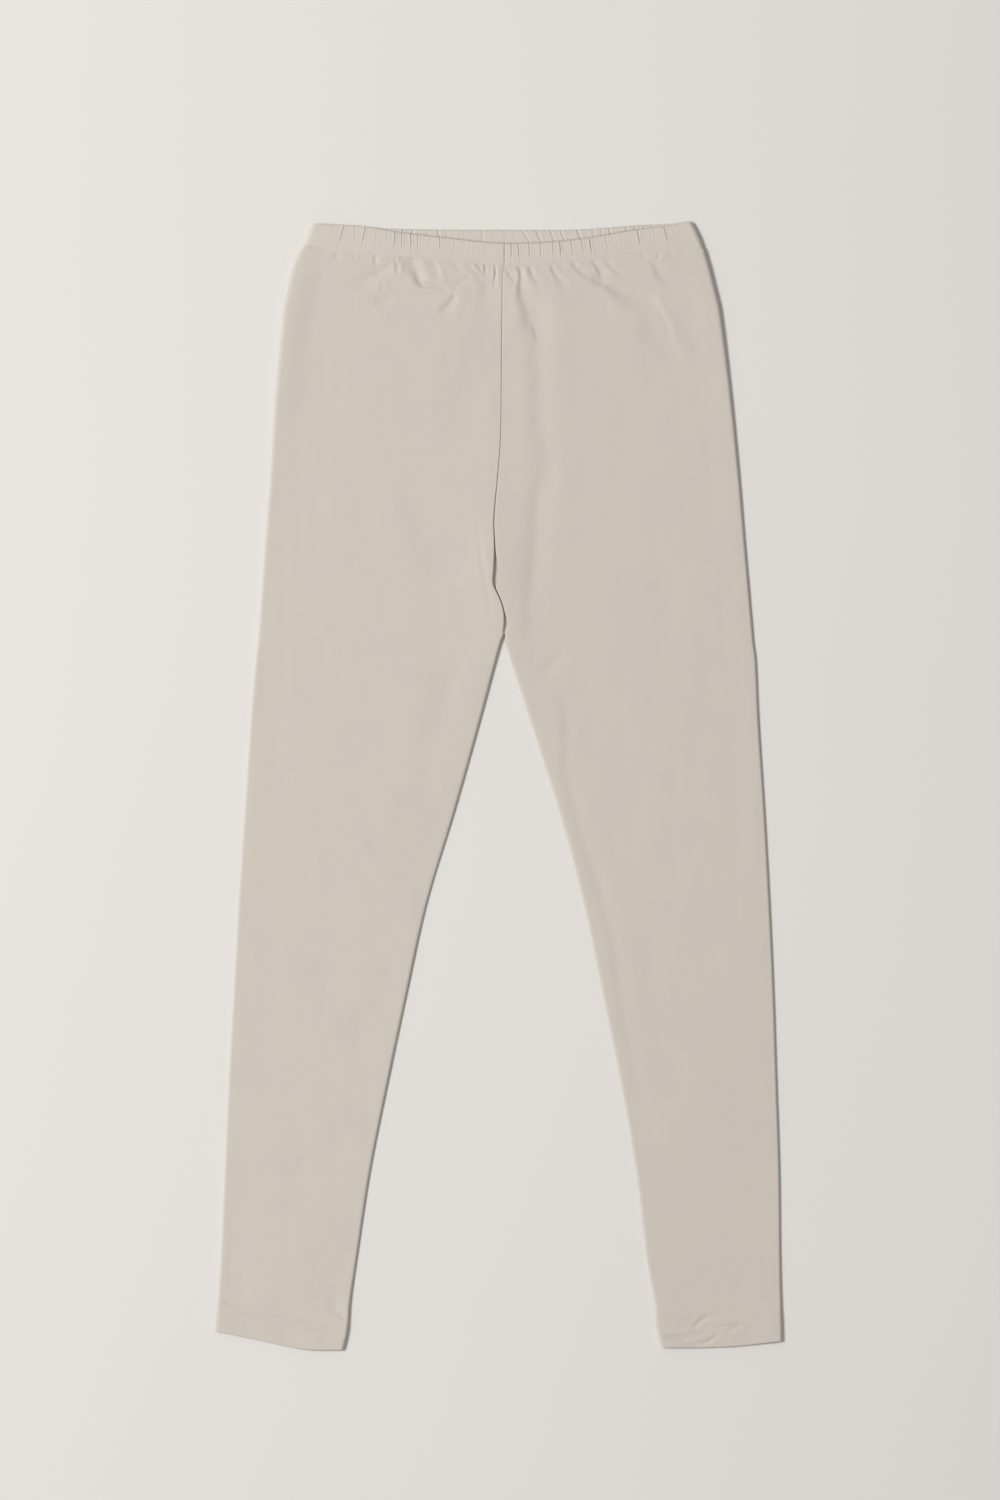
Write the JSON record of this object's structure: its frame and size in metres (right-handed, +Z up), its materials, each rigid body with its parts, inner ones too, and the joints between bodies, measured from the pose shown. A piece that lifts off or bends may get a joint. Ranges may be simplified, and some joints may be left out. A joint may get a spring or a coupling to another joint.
{
  "type": "leggings",
  "caption": "Full-length leggings laid flat with the front up: wrap-round legs, a gathered elastic waistband that dips in front, a centre seam and turned-up hems.",
  "frame": {"origin": "centre of the garment's outline, on the surface it lies on", "axes": "+X across, from the wearer's right leg to the left leg; +Y along the legs, from the hems to the waist; +Z up, out of the front"},
  "size_m": [0.4986, 0.9931, 0.0072],
  "materials": {
    "jersey": "matte fine cotton jersey, off-white",
    "casing": "matte fine cotton jersey, off-white, gathered by the elastic inside",
    "hem": "matte fine cotton jersey, off-white, turned up and stitched"
  },
  "bodies": {
    "root": {"leg_right": "jersey", "leg_left": "jersey", "waistband_right": "casing", "waistband_left": "casing", "hem_right": "hem", "hem_left": "hem"}
  },
  "joints": []
}
